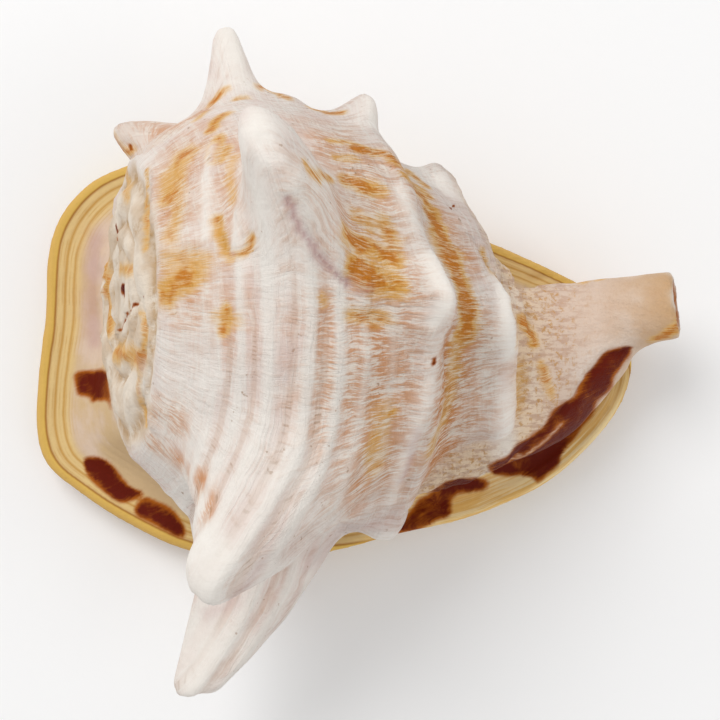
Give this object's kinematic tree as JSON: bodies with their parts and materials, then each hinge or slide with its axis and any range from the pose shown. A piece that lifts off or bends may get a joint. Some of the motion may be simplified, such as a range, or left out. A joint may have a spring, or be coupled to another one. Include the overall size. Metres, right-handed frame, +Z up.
{
  "type": "sea shell",
  "caption": "Large horned helmet sea shell with a flat spire, long blunt shoulder horns, an upturned siphonal canal and a broad lip and shield around a narrow toothed aperture",
  "frame": {"origin": "middle of the footprint on the surface that the shell lies on", "axes": "+Z up, away from the aperture side that the shell lies on; +X towards the siphonal canal and -X towards the spire; +Y towards the parietal shield and -Y towards the outer lip"},
  "size_m": [0.2063, 0.1993, 0.1378],
  "materials": {
    "shell": "satin calcium carbonate shell"
  },
  "bodies": {
    "root": {"shell": "shell"}
  },
  "joints": []
}
